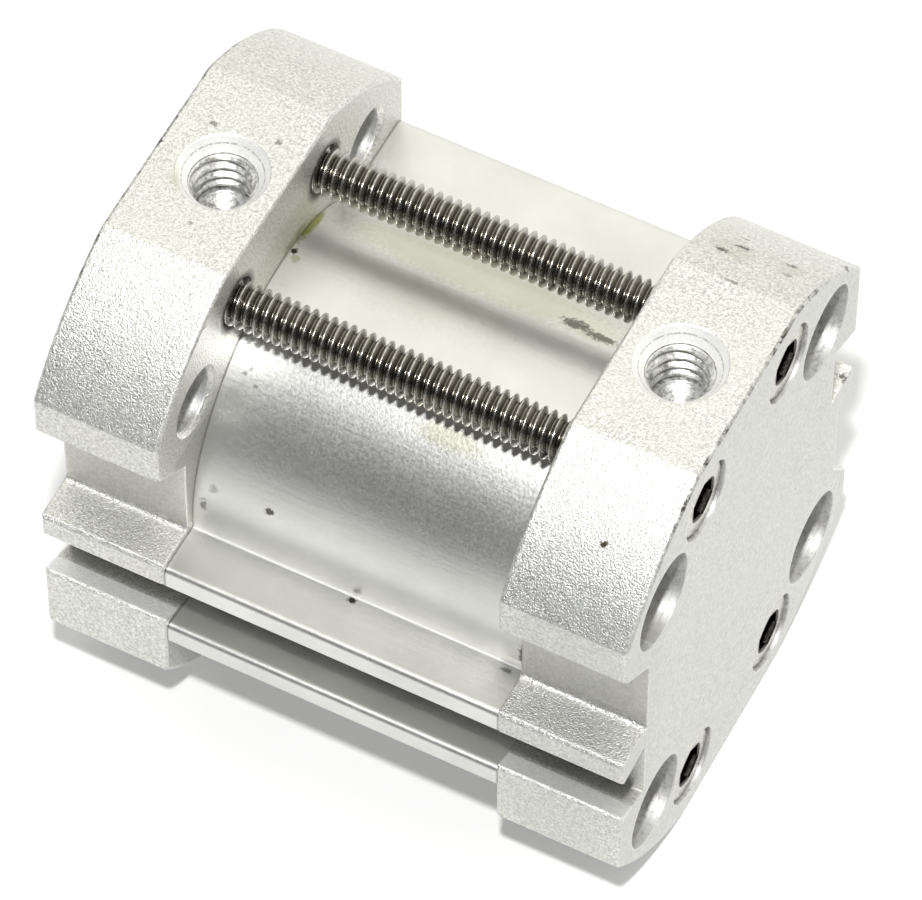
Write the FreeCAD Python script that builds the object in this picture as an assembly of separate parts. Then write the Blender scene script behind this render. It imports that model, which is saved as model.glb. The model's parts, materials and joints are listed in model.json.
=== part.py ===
import FreeCAD, Part
import math
import os

from FreeCAD import Vector

# Compact pneumatic cylinder, millimetres.
# X runs along the cylinder axis from the front cap to the rear cap, Z is up towards the air ports.
# The origin lies on the axis, in the front cap's mounting face. The rod comes out towards -X.

# Bore, stroke and barrel
stroke = 10.0
bore_diameter = 25.0
barrel_wall = 1.7
end_gap = 0.05

# End caps: round, with flats above, below and on both sides
cap_length = 10.0
cap_rim = 1.8
cap_flat_drop = 1.4
cap_edge_break = 0.2
spigot_clearance = 0.05
spigot_tip_land = 0.5

# Mounting holes, on a square in both caps
hole_pitch = 26.0
hole_diameter = 5.0
hole_edge_break = 0.35
bolt_head_recess_diameter = 7.5
bolt_head_recess_depth = 4.2

# Sensor slots and rails: the far ones are the near ones turned half a turn about the axis, then lowered
far_side_drop = 1.05
slot_floor_wall = 0.8
slot_depth = 3.75
slot_mouth_top = -2.9
slot_mouth_width = 4.5
slot_floor_rise = 0.4
slot_floor_drop = 1.5
lip_thickness = 2.4
lip_edge_break = 0.25
side_recess_depth = 3.85
far_recess_depth = 2.4
side_recess_height = 7.9
side_recess_slope = 3.0
side_recess_round = 0.4
rail_setback = 0.2
rail_slot_drop = 0.3
rail_slot_widening = 0.8
rail_lip_thickness = 2.2
rail_lower_lip_thickness = 2.55
rail_lip_round = 0.5
rail_bottom_round = 0.9

# Tie screws that pull the caps onto the barrel
tie_barrel_gap = 2.2
tie_angle = 21.0
tie_screw_diameter = 4.0
tie_head_diameter = 6.0
tie_head_height = 4.0
tie_head_sunk = 0.25
tie_head_clearance = 0.15
tie_shank_clearance = 0.2
tie_hole_end_wall = 1.4
tie_socket_width = 3.0
tie_socket_depth = 2.2
screw_edge_break = 0.3
thread_clearance = 0.02
tapped_hole_spare = 0.6

# Air ports and the drilled passages behind them
port_diameter = 5.0
port_mouth_diameter = 6.8
port_mouth_depth = 1.15
port_depth = 8.0
port_shift = 0.4
passage_diameter = 2.0

# Rod and its bearing in the front cap
rod_diameter = 10.0
rod_protrusion = 4.5
rod_edge_break = 0.6
rod_thread_diameter = 5.0
rod_thread_depth = 9.0
rod_flat_width = 8.0
rod_flat_length = 3.2
rod_hole_clearance = 0.25
rod_running_clearance = 0.03
rod_seal_inset = 2.0
rod_seal_width = 3.2
rod_seal_height = 2.15
rod_seal_wall = 0.8
bush_wall = 0.97

# Cushion rings let into the spigots
cushion_rod_clearance = 0.7
cushion_width = 2.1
cushion_thickness = 1.75
cushion_proud = 0.45

# Static seal rings between spigot and barrel
barrel_seal_cord = 1.45
barrel_seal_side_room = 0.45
barrel_seal_inset = 0.6
ring_clearance = 0.02

# Piston, its rings and the screw that holds it on the rod
piston_clearance = 0.2
piston_running_clearance = 0.03
piston_seal_inset = 1.0
piston_seal_width = 2.1
piston_seal_height = 2.4
piston_land = 0.55
seal_side_clearance = 0.05
guide_groove_width = 2.7
guide_side_clearance = 0.05
guide_ring_thickness = 1.1
magnet_thickness = 2.87
magnet_clearance = 0.05
piston_core_clearance = 0.02
rod_seat_depth = 1.0
rod_shoulder_width = 1.5
static_seal_cord = 1.0
piston_screw_diameter = 4.0
piston_screw_head_diameter = 8.0
piston_screw_head_height = 2.4
piston_screw_recess_clearance = 0.25
piston_screw_length = 9.0
piston_screw_socket_width = 2.5
piston_screw_socket_depth = 1.4
clamp_gap = 0.2

# Lip seal section, as shares of the section's own width and height
lip_notch_share = 0.45
lip_flare_share = 0.14

# How closely two places agree before they count as the same, when edges are looked up
match_tolerance = 1e-4

# Derived sections across the axis
bore_radius = bore_diameter / 2
barrel_radius = bore_radius + barrel_wall
spigot_radius = bore_radius - spigot_clearance
seal_groove_radius = bore_radius - barrel_seal_cord - ring_clearance
tie_shank_radius = tie_screw_diameter / 2
tie_head_radius = tie_head_diameter / 2
tie_recess_radius = tie_head_radius + tie_head_clearance
tie_radius = barrel_radius + tie_barrel_gap + tie_shank_radius
cap_radius = tie_radius + tie_recess_radius + cap_rim
cap_half_height = cap_radius - cap_flat_drop
slot_floor_offset = barrel_radius + slot_floor_wall
cap_half_width = slot_floor_offset + slot_depth
rail_half_width = cap_half_width - rail_setback
slot_mouth_bottom = slot_mouth_top - slot_mouth_width
lip_top = slot_mouth_top + lip_thickness
rail_slot_top = slot_mouth_top - rail_slot_drop
rail_lip_top = rail_slot_top + rail_lip_thickness
rail_slot_bottom = slot_mouth_bottom - rail_slot_widening
rail_bottom = rail_slot_bottom - rail_lower_lip_thickness
rod_radius = rod_diameter / 2
rod_running_radius = rod_radius + rod_running_clearance
rod_hole_radius = rod_radius + rod_hole_clearance
rod_seal_radius = rod_running_radius + rod_seal_height
bush_outer_radius = rod_running_radius + bush_wall
cushion_inner_radius = rod_radius + cushion_rod_clearance
cushion_outer_radius = cushion_inner_radius + cushion_width
cushion_recess_radius = cushion_outer_radius + ring_clearance
passage_offset = (cushion_recess_radius + seal_groove_radius) / 2
piston_radius = bore_radius - piston_clearance
piston_ring_radius = bore_radius - piston_running_clearance
seal_floor_radius = piston_radius - piston_seal_height
guide_inner_radius = piston_ring_radius - guide_ring_thickness
magnet_outer_radius = guide_inner_radius - magnet_clearance
magnet_inner_radius = magnet_outer_radius - magnet_thickness
core_radius = magnet_inner_radius - magnet_clearance
rod_spigot_radius = rod_radius - rod_shoulder_width
piston_core_radius = rod_spigot_radius + piston_core_clearance
rod_seat_radius = rod_radius + piston_core_clearance

# Derived stations along the axis
piston_length = guide_groove_width + 2 * (piston_seal_inset + piston_seal_width + piston_land)
barrel_seal_groove_width = barrel_seal_cord + barrel_seal_side_room
spigot_length = barrel_seal_inset + barrel_seal_groove_width + spigot_tip_land
barrel_length = stroke + piston_length + 2 * (spigot_length + cushion_proud + end_gap)
front_inner_x = cap_length
rear_inner_x = cap_length + barrel_length
overall_length = rear_inner_x + cap_length
front_spigot_x = front_inner_x + spigot_length
rear_spigot_x = rear_inner_x - spigot_length
front_port_x = cap_length / 2 + port_shift
rear_port_x = overall_length - front_port_x
cushion_recess_depth = cushion_thickness - cushion_proud
front_cushion_x = front_spigot_x - cushion_recess_depth
rear_cushion_x = rear_spigot_x + cushion_recess_depth
rod_tip_x = -rod_protrusion
rod_seal_end_x = rod_seal_inset + rod_seal_width
bush_start_x = rod_seal_end_x + rod_seal_wall
tie_end_x = tie_hole_end_wall + tapped_hole_spare
tie_top_x = overall_length - tie_head_sunk
tie_seat_x = tie_top_x - tie_head_height
piston_front_x = front_spigot_x + cushion_proud + end_gap + stroke
piston_rear_x = piston_front_x + piston_length
piston_split_x = piston_front_x + piston_length / 2
guide_groove_front_x = piston_split_x - guide_groove_width / 2
guide_groove_rear_x = piston_split_x + guide_groove_width / 2
front_seal_mouth_x = piston_front_x + piston_seal_inset
front_seal_heel_x = front_seal_mouth_x + piston_seal_width
rear_seal_mouth_x = piston_rear_x - piston_seal_inset
rear_seal_heel_x = rear_seal_mouth_x - piston_seal_width
rod_shoulder_x = piston_front_x + rod_seat_depth
screw_seat_x = piston_rear_x - piston_screw_head_height - clamp_gap
rod_end_x = screw_seat_x - clamp_gap


def revolved(points):
    """Solid of revolution about X from an outline of (x, radius) points."""
    corners = [Vector(x, 0, radius) for x, radius in points]
    face = Part.Face(Part.makePolygon(corners + corners[:1]))
    return face.revolve(Vector(0, 0, 0), Vector(1, 0, 0), 360)


def ring(start_x, end_x, inner_radius, outer_radius):
    """Plain ring about X."""
    return revolved([
        (start_x, inner_radius),
        (end_x, inner_radius),
        (end_x, outer_radius),
        (start_x, outer_radius),
    ])


def rod_along_x(start_x, end_x, radius, y=0.0, z=0.0):
    """Round bar parallel to X with its axis at (y, z)."""
    return Part.makeCylinder(radius, end_x - start_x, Vector(start_x, y, z), Vector(1, 0, 0))


def prism_along_x(start_x, end_x, outline):
    """Prism parallel to X from an outline of (y, z) points."""
    corners = [Vector(start_x, y, z) for y, z in outline]
    face = Part.Face(Part.makePolygon(corners + corners[:1]))
    return face.extrude(Vector(end_x - start_x, 0, 0))


def far_side(shape):
    """Copy of a near-side shape for the far side: half a turn about the axis, then lowered."""
    turned = shape.copy()
    turned.rotate(Vector(0, 0, 0), Vector(1, 0, 0), 180)
    turned.translate(Vector(0, 0, -far_side_drop))
    return turned


def cone_along(base, direction, base_radius, top_radius):
    """Cone with a 45 degree flank, starting at base and running along direction."""
    return Part.makeCone(base_radius, top_radius, abs(base_radius - top_radius), base, direction)


def seal_ring(middle_x, inner_radius, cord):
    """Round-section seal ring about X."""
    return Part.makeTorus(inner_radius + cord / 2, cord / 2, Vector(middle_x, 0, 0), Vector(1, 0, 0))


def lip_seal(heel_x, mouth_x, fixed_radius, lip_radius):
    """Lip seal about X: a square heel, and a notched mouth between its fixed lip and its sealing lip."""
    height = lip_radius - fixed_radius
    width = mouth_x - heel_x
    notch_x = mouth_x - lip_notch_share * width
    crest_x = mouth_x - lip_flare_share * width
    flare = lip_flare_share * height
    return revolved([
        (heel_x, fixed_radius),
        (mouth_x, fixed_radius),
        (mouth_x, fixed_radius + 2 * flare),
        (notch_x, fixed_radius + height / 2),
        (mouth_x, lip_radius - flare),
        (crest_x, lip_radius),
        (heel_x, lip_radius - 2 * flare),
    ])


def edges_along_x(shape, places):
    """Edges parallel to X that pass through the given (y, z) places."""
    found = []
    for edge in shape.Edges:
        ends = [vertex.Point for vertex in edge.Vertexes]
        straight = len(ends) == 2 and abs(ends[0].x - ends[1].x) > edge.Length - match_tolerance
        for y, z in places:
            if straight and math.hypot(ends[0].y - y, ends[0].z - z) < match_tolerance:
                found.append(edge)
    return found


def far_place(y, z):
    """Place on the far side that answers to a near-side place (y, z)."""
    return (-y, -z - far_side_drop)


def square_places():
    """Centres of the four mounting holes."""
    half = hole_pitch / 2
    return [(y, z) for y in (-half, half) for z in (-half, half)]


def tie_places():
    """Centres of the four tie screws, keyed by where each one sits."""
    y = tie_radius * math.sin(math.radians(tie_angle))
    z = tie_radius * math.cos(math.radians(tie_angle))
    return {"upper_near": (-y, z), "upper_far": (y, z), "lower_near": (-y, -z), "lower_far": (y, -z)}


def slot_outline(mouth_offset, mouth_top, mouth_bottom):
    """Dovetail section of the near sensor slot, open through a mouth at -mouth_offset."""
    past = mouth_offset + slot_depth
    return [
        (-slot_floor_offset, slot_mouth_top + slot_floor_rise),
        (-mouth_offset, mouth_top),
        (-past, mouth_top),
        (-past, mouth_bottom),
        (-mouth_offset, mouth_bottom),
        (-slot_floor_offset, slot_mouth_bottom - slot_floor_drop),
    ]


def side_recess_outline(depth):
    """Section of a recess of the given depth above the near sensor slot, with its sloping ceiling."""
    floor = cap_half_width - depth
    past = cap_half_width + depth
    floor_top = lip_top + side_recess_height
    mouth_top = floor_top + side_recess_slope
    return [
        (-floor, lip_top),
        (-past, lip_top),
        (-past, mouth_top),
        (-cap_half_width, mouth_top),
        (-floor, floor_top),
    ]


def side_edges(shape, offset, heights):
    """Edges along X at the given heights on the near side, and those that answer to them on the far side."""
    near_places = [(-offset, height) for height in heights]
    return edges_along_x(shape, near_places + [far_place(y, z) for y, z in near_places])


def cap_blank(start_x):
    """Round cap with flats above, below and on both sides, then the side recesses and the sensor slots."""
    end_x = start_x + cap_length
    corner = Vector(start_x, -cap_half_width, -cap_half_height)
    flats = Part.makeBox(cap_length, 2 * cap_half_width, 2 * cap_half_height, corner)
    blank = rod_along_x(start_x, end_x, cap_radius).common(flats)
    end_edges = [edge for edge in blank.Edges if edge.BoundBox.XLength < match_tolerance]
    blank = blank.makeChamfer(cap_edge_break, end_edges)
    near_recess = prism_along_x(start_x, end_x, side_recess_outline(side_recess_depth))
    far_recess = far_side(prism_along_x(start_x, end_x, side_recess_outline(far_recess_depth)))
    slot = prism_along_x(start_x, end_x, slot_outline(cap_half_width, slot_mouth_top, slot_mouth_bottom))
    blank = blank.cut([near_recess, far_recess, slot, far_side(slot)])
    near_corner = (side_recess_depth - cap_half_width, lip_top)
    far_corner = far_place(far_recess_depth - cap_half_width, lip_top)
    blank = blank.makeFillet(side_recess_round, edges_along_x(blank, [near_corner, far_corner]))
    lip_corners = side_edges(blank, cap_half_width, [lip_top, slot_mouth_top, slot_mouth_bottom])
    return blank.makeChamfer(lip_edge_break, lip_corners)


def spigot(inner_x, tip_x):
    """Locating spigot with its seal groove, reaching from a cap into the barrel."""
    way = math.copysign(1, tip_x - inner_x)
    groove_start = inner_x + way * barrel_seal_inset
    groove_end = groove_start + way * barrel_seal_groove_width
    return revolved([
        (inner_x, 0),
        (inner_x, spigot_radius),
        (groove_start, spigot_radius),
        (groove_start, seal_groove_radius),
        (groove_end, seal_groove_radius),
        (groove_end, spigot_radius),
        (tip_x, spigot_radius),
        (tip_x, 0),
    ])


def air_way(port_x, tip_x):
    """Port bore with its wide mouth, and the drilled passage from it to the spigot's tip."""
    top = Vector(port_x, 0, cap_half_height)
    down = Vector(0, 0, -1)
    passage_radius = passage_diameter / 2
    bore = Part.makeCylinder(port_diameter / 2, port_depth, top, down)
    mouth = Part.makeCone(port_mouth_diameter / 2, port_diameter / 2, port_mouth_depth, top, down)
    drop = Part.makeCylinder(passage_radius, cap_half_height - passage_offset + passage_radius, top, down)
    passage = rod_along_x(min(port_x, tip_x), max(port_x, tip_x), passage_radius, 0.0, passage_offset)
    return bore.fuse([mouth, drop, passage])


def front_cap():
    """Rod-side cap: stepped bore for rod, seal, bush and cushion, mounting holes, tapped tie holes."""
    cap = cap_blank(0.0).fuse(spigot(front_inner_x, front_spigot_x))
    cuts = [revolved([
        (0, 0),
        (0, rod_hole_radius),
        (rod_seal_inset, rod_hole_radius),
        (rod_seal_inset, rod_seal_radius),
        (rod_seal_end_x, rod_seal_radius),
        (rod_seal_end_x, rod_hole_radius),
        (bush_start_x, rod_hole_radius),
        (bush_start_x, bush_outer_radius),
        (front_cushion_x, bush_outer_radius),
        (front_cushion_x, cushion_recess_radius),
        (front_spigot_x, cushion_recess_radius),
        (front_spigot_x, 0),
    ])]
    hole_radius = hole_diameter / 2
    for y, z in square_places():
        mouth = Vector(front_inner_x, y, z)
        cuts.append(rod_along_x(0.0, front_inner_x, hole_radius, y, z))
        cuts.append(cone_along(mouth, Vector(-1, 0, 0), hole_radius + hole_edge_break, hole_radius))
    tapped_radius = tie_shank_radius + thread_clearance
    for y, z in tie_places().values():
        cuts.append(rod_along_x(tie_hole_end_wall, front_inner_x, tapped_radius, y, z))
    cuts.append(air_way(front_port_x, front_spigot_x))
    return cap.cut(cuts)


def rear_cap():
    """Closed cap: cushion recess inside, counterbored mounting holes, counterbored tie screw holes."""
    cap = cap_blank(rear_inner_x).fuse(spigot(rear_inner_x, rear_spigot_x))
    cuts = [rod_along_x(rear_spigot_x, rear_cushion_x, cushion_recess_radius)]
    recess_x = overall_length - bolt_head_recess_depth
    hole_radius = hole_diameter / 2
    for y, z in square_places():
        mouth = Vector(rear_inner_x, y, z)
        cuts.append(rod_along_x(rear_inner_x, overall_length, hole_radius, y, z))
        cuts.append(rod_along_x(recess_x, overall_length, bolt_head_recess_diameter / 2, y, z))
        cuts.append(cone_along(mouth, Vector(1, 0, 0), hole_radius + hole_edge_break, hole_radius))
    for y, z in tie_places().values():
        cuts.append(rod_along_x(rear_inner_x, overall_length, tie_shank_radius + tie_shank_clearance, y, z))
        cuts.append(rod_along_x(tie_seat_x, overall_length, tie_recess_radius, y, z))
    cuts.append(air_way(rear_port_x, rear_spigot_x))
    return cap.cut(cuts)


def barrel():
    """Extruded tube with a sensor rail on each side; both rails carry the slot on from the caps."""
    rail = prism_along_x(front_inner_x, rear_inner_x, [
        (0, rail_lip_top),
        (-rail_half_width, rail_lip_top),
        (-rail_half_width, rail_bottom),
        (0, rail_bottom),
    ])
    slot_section = slot_outline(rail_half_width, rail_slot_top, rail_slot_bottom)
    slot = prism_along_x(front_inner_x, rear_inner_x, slot_section)
    tube = rod_along_x(front_inner_x, rear_inner_x, barrel_radius)
    solid = tube.fuse([rail, far_side(rail)]).cut([slot, far_side(slot)]).removeSplitter()
    solid = solid.makeFillet(rail_bottom_round, side_edges(solid, rail_half_width, [rail_bottom]))
    lip_corners = side_edges(solid, rail_half_width, [rail_lip_top, rail_slot_bottom])
    solid = solid.makeFillet(rail_lip_round, lip_corners)
    solid = solid.makeChamfer(lip_edge_break, side_edges(solid, rail_half_width, [rail_slot_top]))
    return solid.cut(rod_along_x(front_inner_x, rear_inner_x, bore_radius))


def hexagon_socket(mouth_x, floor_x, across_flats, y, z):
    """Hexagon socket cut, running from a screw head's face to its floor."""
    corner = across_flats / math.sqrt(3)
    outline = []
    for step in range(6):
        angle = math.radians(60 * step)
        outline.append((y + corner * math.cos(angle), z + corner * math.sin(angle)))
    return prism_along_x(floor_x, mouth_x, outline)


def socket_screw(end_x, seat_x, top_x, shank_radius, head_radius):
    """Cap screw along X without its socket: chamfered shank end, flat seat, head with a broken edge."""
    return revolved([
        (end_x, 0),
        (end_x, shank_radius - screw_edge_break),
        (end_x + screw_edge_break, shank_radius),
        (seat_x, shank_radius),
        (seat_x, head_radius),
        (top_x - screw_edge_break, head_radius),
        (top_x, head_radius - screw_edge_break),
        (top_x, 0),
    ])


def tie_screw(y, z):
    """Long socket screw: head sunk in the rear cap, shank across the gap into the front cap."""
    screw = socket_screw(tie_end_x, tie_seat_x, tie_top_x, tie_shank_radius, tie_head_radius)
    screw.translate(Vector(0, y, z))
    return screw.cut(hexagon_socket(tie_top_x, tie_top_x - tie_socket_depth, tie_socket_width, y, z))


def piston_rod():
    """Rod with a tapped outer end, wrench flats, and a tapped spigot that carries the piston."""
    bar = revolved([
        (rod_tip_x, 0),
        (rod_tip_x, rod_radius - rod_edge_break),
        (rod_tip_x + rod_edge_break, rod_radius),
        (rod_shoulder_x, rod_radius),
        (rod_shoulder_x, rod_spigot_radius),
        (rod_end_x, rod_spigot_radius),
        (rod_end_x, 0),
    ])
    cuts = [rod_along_x(rod_tip_x, rod_tip_x + rod_thread_depth, rod_thread_diameter / 2)]
    inner_hole_x = screw_seat_x - piston_screw_length - tapped_hole_spare
    cuts.append(rod_along_x(inner_hole_x, rod_end_x, piston_screw_diameter / 2 + thread_clearance))
    for flat_y in (rod_flat_width / 2, -rod_flat_width / 2 - rod_diameter):
        corner = Vector(rod_tip_x, flat_y, -rod_radius)
        cuts.append(Part.makeBox(rod_flat_length, rod_diameter, rod_diameter, corner))
    return bar.cut(cuts)


def piston_front_half():
    """Front half: seal groove, rod seat, static seal pocket, and its share of the guide groove."""
    pocket_x = rod_shoulder_x + static_seal_cord + ring_clearance
    pocket_radius = rod_spigot_radius + static_seal_cord + ring_clearance
    return revolved([
        (piston_front_x, rod_seat_radius),
        (piston_front_x, piston_radius),
        (front_seal_mouth_x, piston_radius),
        (front_seal_mouth_x, seal_floor_radius),
        (front_seal_heel_x, seal_floor_radius),
        (front_seal_heel_x, piston_radius),
        (guide_groove_front_x, piston_radius),
        (guide_groove_front_x, core_radius),
        (piston_split_x, core_radius),
        (piston_split_x, piston_core_radius),
        (pocket_x, piston_core_radius),
        (pocket_x, pocket_radius),
        (rod_shoulder_x, pocket_radius),
        (rod_shoulder_x, rod_seat_radius),
    ])


def piston_rear_half():
    """Rear half: seal groove, recess for the screw head, and its share of the guide groove."""
    recess_radius = piston_screw_head_diameter / 2 + piston_screw_recess_clearance
    return revolved([
        (piston_split_x, piston_core_radius),
        (piston_split_x, core_radius),
        (guide_groove_rear_x, core_radius),
        (guide_groove_rear_x, piston_radius),
        (rear_seal_heel_x, piston_radius),
        (rear_seal_heel_x, seal_floor_radius),
        (rear_seal_mouth_x, seal_floor_radius),
        (rear_seal_mouth_x, piston_radius),
        (piston_rear_x, piston_radius),
        (piston_rear_x, recess_radius),
        (screw_seat_x, recess_radius),
        (screw_seat_x, piston_core_radius),
    ])


def piston_screw():
    """Low-head socket screw that clamps both piston halves against the rod's shoulder."""
    end_x = screw_seat_x - piston_screw_length
    top_x = screw_seat_x + piston_screw_head_height
    shank_radius = piston_screw_diameter / 2
    head_radius = piston_screw_head_diameter / 2
    screw = socket_screw(end_x, screw_seat_x, top_x, shank_radius, head_radius)
    return screw.cut(hexagon_socket(
        top_x, top_x - piston_screw_socket_depth, piston_screw_socket_width, 0.0, 0.0
    ))


def grooved_lip_seal(groove_heel_x, groove_mouth_x, fixed_radius, lip_radius):
    """Lip seal with side clearance in a groove that runs from its heel wall to its mouth wall."""
    way = math.copysign(seal_side_clearance, groove_mouth_x - groove_heel_x)
    return lip_seal(groove_heel_x + way, groove_mouth_x - way, fixed_radius, lip_radius)


def piston_pieces():
    """Everything that travels with the rod."""
    guide_start = guide_groove_front_x + guide_side_clearance
    guide_end = guide_groove_rear_x - guide_side_clearance
    static_seal_x = rod_shoulder_x + (static_seal_cord + ring_clearance) / 2
    return {
        "piston_rod": piston_rod(),
        "piston_front_half": piston_front_half(),
        "piston_rear_half": piston_rear_half(),
        "piston_screw": piston_screw(),
        "piston_seal_front": grooved_lip_seal(
            front_seal_heel_x, front_seal_mouth_x, seal_floor_radius, piston_ring_radius
        ),
        "piston_seal_rear": grooved_lip_seal(
            rear_seal_heel_x, rear_seal_mouth_x, seal_floor_radius, piston_ring_radius
        ),
        "magnet_ring": ring(
            guide_groove_front_x, guide_groove_rear_x, magnet_inner_radius, magnet_outer_radius
        ),
        "guide_ring": ring(guide_start, guide_end, guide_inner_radius, piston_ring_radius),
        "rod_static_seal": seal_ring(static_seal_x, rod_spigot_radius, static_seal_cord),
    }


def cap_fittings():
    """Bush, seals and cushion rings that stay with the caps."""
    seal_inset = barrel_seal_inset + barrel_seal_groove_width / 2
    front_cushion_face = front_cushion_x + cushion_thickness
    rear_cushion_face = rear_cushion_x - cushion_thickness
    return {
        "rod_bush": ring(bush_start_x, front_cushion_x, rod_running_radius, bush_outer_radius),
        "rod_seal": grooved_lip_seal(rod_seal_inset, rod_seal_end_x, rod_seal_radius, rod_running_radius),
        "cushion_ring_front": ring(
            front_cushion_x, front_cushion_face, cushion_inner_radius, cushion_outer_radius
        ),
        "cushion_ring_rear": ring(
            rear_cushion_face, rear_cushion_x, cushion_inner_radius, cushion_outer_radius
        ),
        "barrel_seal_front": seal_ring(front_inner_x + seal_inset, seal_groove_radius, barrel_seal_cord),
        "barrel_seal_rear": seal_ring(rear_inner_x - seal_inset, seal_groove_radius, barrel_seal_cord),
    }


def all_pieces():
    """Every node of the cylinder, by name."""
    pieces = {"front_cap": front_cap(), "rear_cap": rear_cap(), "barrel": barrel()}
    for place, (y, z) in tie_places().items():
        pieces["tie_screw_" + place] = tie_screw(y, z)
    pieces.update(cap_fittings())
    pieces.update(piston_pieces())
    return pieces


os.makedirs("parts", exist_ok=True)
for name, shape in all_pieces().items():
    solids = shape.Solids
    piece = solids[0] if len(solids) == 1 else Part.makeCompound(solids)
    piece.exportStep("parts/" + name + ".step")
    print(name, "solids", len(solids), "valid", piece.isValid(), "volume", round(piece.Volume, 2))
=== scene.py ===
# %% [markdown]
# # A compact air cylinder, dressed on its CAD frame
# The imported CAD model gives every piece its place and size. This lesson keeps those solids where
# their shape is right, winds real threads where the solids are plain, and gives every surface the
# finish of the real part: blasted aluminium caps, a satin extruded barrel and oiled steel screws.

# %% Load the frame
import json
import math
from functools import reduce

import bmesh
import bpy
import numpy as np
from mathutils import Matrix, Vector


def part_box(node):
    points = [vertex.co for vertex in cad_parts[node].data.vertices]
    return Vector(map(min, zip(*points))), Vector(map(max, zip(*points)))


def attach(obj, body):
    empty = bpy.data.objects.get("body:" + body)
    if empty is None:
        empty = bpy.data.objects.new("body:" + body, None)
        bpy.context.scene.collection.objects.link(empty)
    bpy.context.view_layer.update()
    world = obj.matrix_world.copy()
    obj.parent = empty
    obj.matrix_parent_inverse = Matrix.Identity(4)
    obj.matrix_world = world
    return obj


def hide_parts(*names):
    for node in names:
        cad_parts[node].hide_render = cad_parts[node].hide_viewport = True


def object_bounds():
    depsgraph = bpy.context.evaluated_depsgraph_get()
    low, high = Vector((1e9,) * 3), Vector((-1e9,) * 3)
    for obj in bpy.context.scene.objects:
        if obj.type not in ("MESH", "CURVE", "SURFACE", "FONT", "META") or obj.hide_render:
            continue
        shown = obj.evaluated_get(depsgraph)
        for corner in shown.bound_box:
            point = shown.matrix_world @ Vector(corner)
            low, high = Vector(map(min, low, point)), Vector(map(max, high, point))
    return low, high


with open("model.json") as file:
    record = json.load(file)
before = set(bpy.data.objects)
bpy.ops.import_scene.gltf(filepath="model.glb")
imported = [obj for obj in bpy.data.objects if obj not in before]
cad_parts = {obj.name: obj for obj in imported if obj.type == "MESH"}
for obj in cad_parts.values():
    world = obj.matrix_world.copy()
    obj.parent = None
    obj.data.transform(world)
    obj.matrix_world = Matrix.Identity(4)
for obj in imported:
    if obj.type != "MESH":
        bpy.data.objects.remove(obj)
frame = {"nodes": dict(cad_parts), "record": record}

MM = 0.001
cad_low, cad_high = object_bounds()
nodes = frame["nodes"]
mounts = {mount["name"]: mount for mount in frame["record"]["mounts"]}
print("nodes", len(nodes), "CAD box", [round(v, 4) for v in cad_low], [round(v, 4) for v in cad_high])

# %% [markdown]
# ## Surfaces on a grid
# A surface on a grid is a table of points: one row per step along the piece, one column per step
# round it. Joining neighbours gives quads. On a screw thread each column starts a little further
# along than the last, so the seam joins a row to the one a whole pitch later. That shift is `lead`.
# Building faces from index arrays is quicker than operators, and the result is the same each run.

# %% Faces of a grid
def grid_quads(rows, columns, lead=0):
    """Quads of a rows x columns table whose last column meets the first, `lead` rows further on."""
    row, column = np.meshgrid(np.arange(rows - 1 - lead), np.arange(columns), indexing="ij")
    step = np.where(column == columns - 1, lead, 0)
    after = (column + 1) % columns
    corner = row * columns + column
    corner_after = (row + step) * columns + after
    quads = np.stack([corner, corner_after, corner_after + columns, corner + columns], axis=-1)
    return quads.reshape(-1, 4)


def ring_quads(first, second, columns):
    """Quads between two rings of points, each given by the index of its first point."""
    column = np.arange(columns)
    after = (column + 1) % columns
    return np.stack([first + column, first + after, second + after, second + column], axis=-1)


def fan_triangles(centre, ring, columns):
    """Triangles from one centre point to a ring of points."""
    column = np.arange(columns)
    after = (column + 1) % columns
    return np.stack([np.full(columns, centre), ring + column, ring + after], axis=-1)


print("a 3 x 8 grid has", len(grid_quads(3, 8)), "quads")

# %% [markdown]
# A finished piece is one or more closed shells in one mesh. Points that fall together are merged,
# which closes the seams, and the sign of the enclosed volume tells whether the faces look outwards.
# Edges sharper than 38 degrees stay crisp, and the rest shade smoothly.

# %% Put shells into a piece
merge_distance = 0.0005 * MM
shortest_edge = 0.0002 * MM
crease_angle = math.radians(38)


def closed_shell(points, faces):
    """Mesh of one shell, with doubled points merged and its faces turned outwards."""
    mesh = bpy.data.meshes.new("shell")
    mesh.from_pydata(points.tolist(), [], faces)
    shell = bmesh.new()
    shell.from_mesh(mesh)
    bmesh.ops.remove_doubles(shell, verts=shell.verts, dist=merge_distance)
    bmesh.ops.dissolve_degenerate(shell, edges=shell.edges, dist=shortest_edge)
    if shell.calc_volume(signed=True) < 0:
        bmesh.ops.reverse_faces(shell, faces=shell.faces)
    shell.to_mesh(mesh)
    shell.free()
    return mesh


def add_piece(name, shells, material, body, replaced=()):
    """One object of (points, faces) shells that rides on a body and stands for the CAD nodes it replaces."""
    joined = bmesh.new()
    for points, faces in shells:
        joined.from_mesh(closed_shell(points, faces))
    mesh = bpy.data.meshes.new(name)
    joined.to_mesh(mesh)
    joined.free()
    mesh.shade_smooth()
    mesh.set_sharp_from_angle(angle=crease_angle)
    mesh.materials.append(material)
    piece = bpy.data.objects.new(name, mesh)
    bpy.context.scene.collection.objects.link(piece)
    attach(piece, body)
    if replaced:
        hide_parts(*replaced)
    print(name, "faces", len(mesh.polygons))


# %% [markdown]
# ## Materials
# Every finish here is a node tree that reads the object's own coordinates. The pieces lie at the
# origin, so these are the CAD model's metres, and a stain can be put at a measured place. Small
# helpers that add a node and fill its inputs keep the trees readable.

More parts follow.
